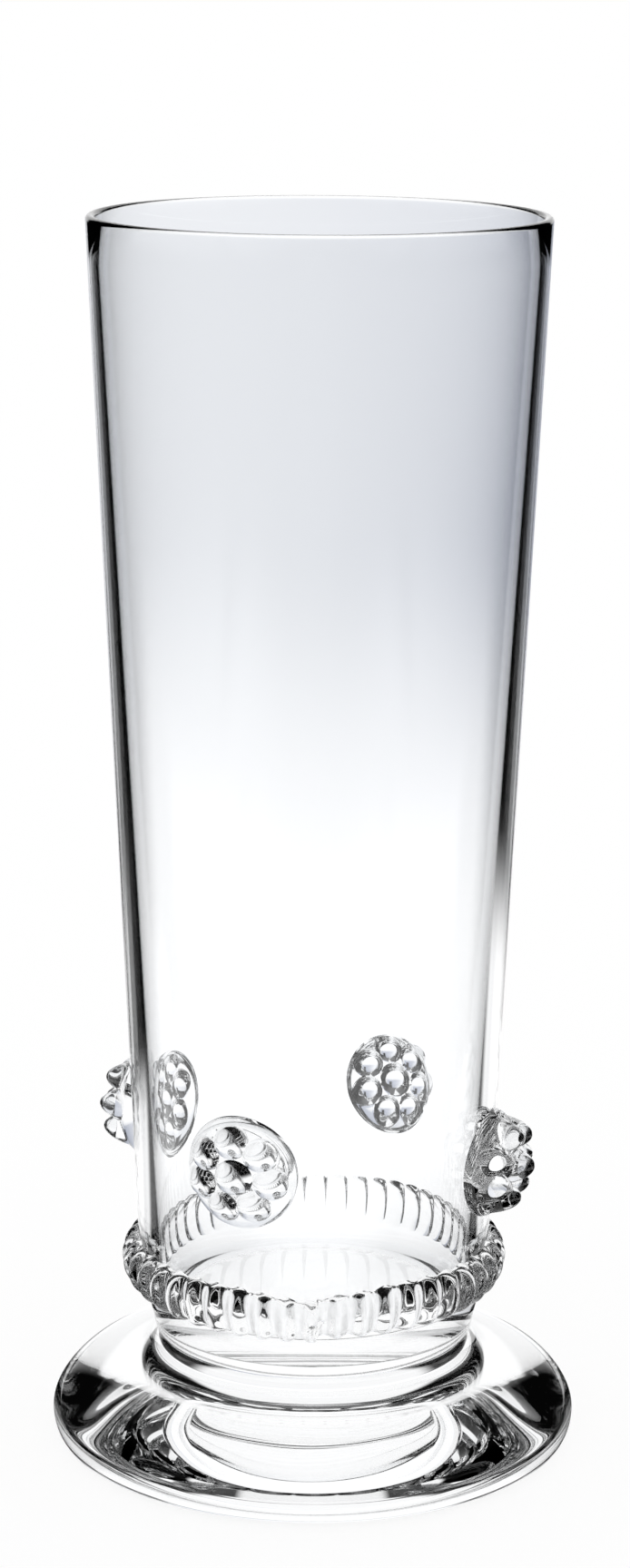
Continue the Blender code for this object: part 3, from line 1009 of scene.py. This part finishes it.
def painted_light_beside(look, studio):
    """Painted light on the paper on both sides of the glass as mirrored in it."""
    tree = look.tree
    up_to = look.lobe(*soft_edge(studio.side_sweep_end, SIDE_END_SOFTNESS))
    within = look.lobe(*soft_edge(studio.side_sweep, SIDE_SOFTNESS))
    begun = smooth_step(tree, look.distance, *soft_edge(studio.side_start, SIDE_START_SOFTNESS))
    ended = smooth_step(tree, look.distance, *soft_edge(studio.side_end, END_SOFTNESS))
    both_sides = maths(tree, "SUBTRACT", up_to, within)
    return maths(tree, "MULTIPLY", both_sides, maths(tree, "SUBTRACT", begun, ended))


def floor_paper(studio):
    """Pale paper: white to the camera apart from the shadow; to the glass, an emission of painted
    light in parts and painted shade elsewhere.
    """
    material = bpy.data.materials.new("floor_paper")
    material.use_nodes = True
    tree = material.node_tree
    nodes, links = tree.nodes, tree.links
    nodes.remove(nodes["Principled BSDF"])
    place = nodes.new("ShaderNodeTexCoord")
    look = Outlook(tree, place.outputs["Object"])
    parts = [part(look, studio) for part in (painted_light_behind, painted_light_before, painted_light_beside)]
    lit = blend(tree, look.mirrored, painted_direct_light(look, studio), look.either(*parts))
    far = smooth_step(tree, look.distance, *FAR_BEGINS)
    white = blend_colour(tree, far, studio.floor_colour, look.far_paper(studio))
    in_glass = blend_colour(tree, lit, studio.dark_colour, white)
    # Painted light and shade: the paper emits its lit parts and its dark rest to rays from the
    # glass.
    painted_light_glow = nodes.new("ShaderNodeEmission")
    links.new(in_glass, painted_light_glow.inputs["Color"])
    # Painted contact shadow: the paper dims close to the foot.
    clear = smooth_step(tree, look.distance, *PAINTED_CONTACT_SHADOW_ENDS)
    near = blend(tree, clear, studio.painted_near_glow_strength * studio.painted_contact_shadow_share, studio.painted_near_glow_strength)
    links.new(blend(tree, far, near, 1.0), painted_light_glow.inputs["Strength"])
    plain = nodes.new("ShaderNodeEmission")
    plain.inputs["Color"].default_value = (*studio.floor_colour, 1.0)
    plain.inputs["Strength"].default_value = 1.0 - studio.shadow_share
    paper = nodes.new("ShaderNodeBsdfDiffuse")
    shaded = [studio.shadow_share * part for part in studio.floor_colour]
    paper.inputs["Color"].default_value = (*shaded, 1.0)
    both = nodes.new("ShaderNodeAddShader")
    links.new(plain.outputs["Emission"], both.inputs[0])
    links.new(paper.outputs["BSDF"], both.inputs[1])
    mix = nodes.new("ShaderNodeMixShader")
    links.new(look.bent, mix.inputs["Fac"])
    links.new(both.outputs["Shader"], mix.inputs[1])
    links.new(painted_light_glow.outputs["Emission"], mix.inputs[2])
    links.new(mix.outputs["Shader"], nodes["Material Output"].inputs["Surface"])
    return material


class GLASS_OT_stage(bpy.types.Operator):
    """Pale floor, soft studio light and the camera"""

    bl_idname = "glass.stage"
    bl_label = "Stage"

    def execute(self, context):
        scene = context.scene
        studio = scene.studio_settings
        mesh = bpy.data.meshes.new("floor")
        edge = around(full_turn(STAGE_CORNERS), studio.floor_radius, -STAGE_DROP)
        corners = [tuple(map(float, point)) for point in edge]
        mesh.from_pydata(corners, [], [tuple(range(STAGE_CORNERS))])
        mesh.materials.append(floor_paper(studio))
        floor = bpy.data.objects.new("floor", mesh)
        scene.collection.objects.link(floor)
        studio_world(studio)
        lens = bpy.data.cameras.new("camera")
        lens.lens = studio.focal_length
        lens.clip_start = CLIP_START
        camera = bpy.data.objects.new("camera", lens)
        scene.collection.objects.link(camera)
        aim = Matrix.Rotation(studio.camera_pan, 4, "Z")
        aim = aim @ Matrix.Rotation(math.pi / 2 - studio.camera_tilt, 4, "X")
        aim = aim @ Matrix.Rotation(studio.camera_roll, 4, "Z")
        stand = Matrix.Translation((0.0, -studio.camera_distance, studio.camera_height))
        camera.matrix_world = stand @ aim
        scene.camera = camera
        scene.view_settings.view_transform = "Standard"
        scene.cycles.max_bounces = BOUNCES
        scene.cycles.transmission_bounces = BOUNCES
        scene.cycles.glossy_bounces = MIRROR_BOUNCES
        scene.cycles.transparent_max_bounces = SEAM_BOUNCES
        return {"FINISHED"}


class GLASS_PT_panel(bpy.types.Panel):
    """Lists the pieces of the glass"""

    bl_idname = "GLASS_PT_panel"
    bl_label = "Champagne Glass"
    bl_space_type = "VIEW_3D"
    bl_region_type = "UI"
    bl_category = "Champagne Glass"

    def draw(self, context):
        for operator in OPERATORS:
            self.layout.operator(operator.bl_idname)


OPERATORS = (GLASS_OT_bowl, GLASS_OT_foot, GLASS_OT_trail, GLASS_OT_prunts, GLASS_OT_stage)
SETTINGS = {
    "glass_sizes": GlassSizes,
    "ornament_sizes": OrnamentSizes,
    "glass_finish": GlassFinish,
    "studio_settings": StudioSettings,
}


def register():
    for group in SETTINGS.values():
        bpy.utils.register_class(group)
    for name, group in SETTINGS.items():
        setattr(bpy.types.Scene, name, PointerProperty(type=group))
    for operator in OPERATORS:
        bpy.utils.register_class(operator)
    bpy.utils.register_class(GLASS_PT_panel)


def unregister():
    bpy.utils.unregister_class(GLASS_PT_panel)
    for operator in reversed(OPERATORS):
        bpy.utils.unregister_class(operator)
    for name in SETTINGS:
        delattr(bpy.types.Scene, name)
    for group in reversed(list(SETTINGS.values())):
        bpy.utils.unregister_class(group)


def main():
    register()
    bpy.ops.glass.bowl()
    bpy.ops.glass.foot()
    bpy.ops.glass.trail()
    bpy.ops.glass.prunts()
    bpy.ops.glass.stage()


if __name__ == "__main__":
    main()
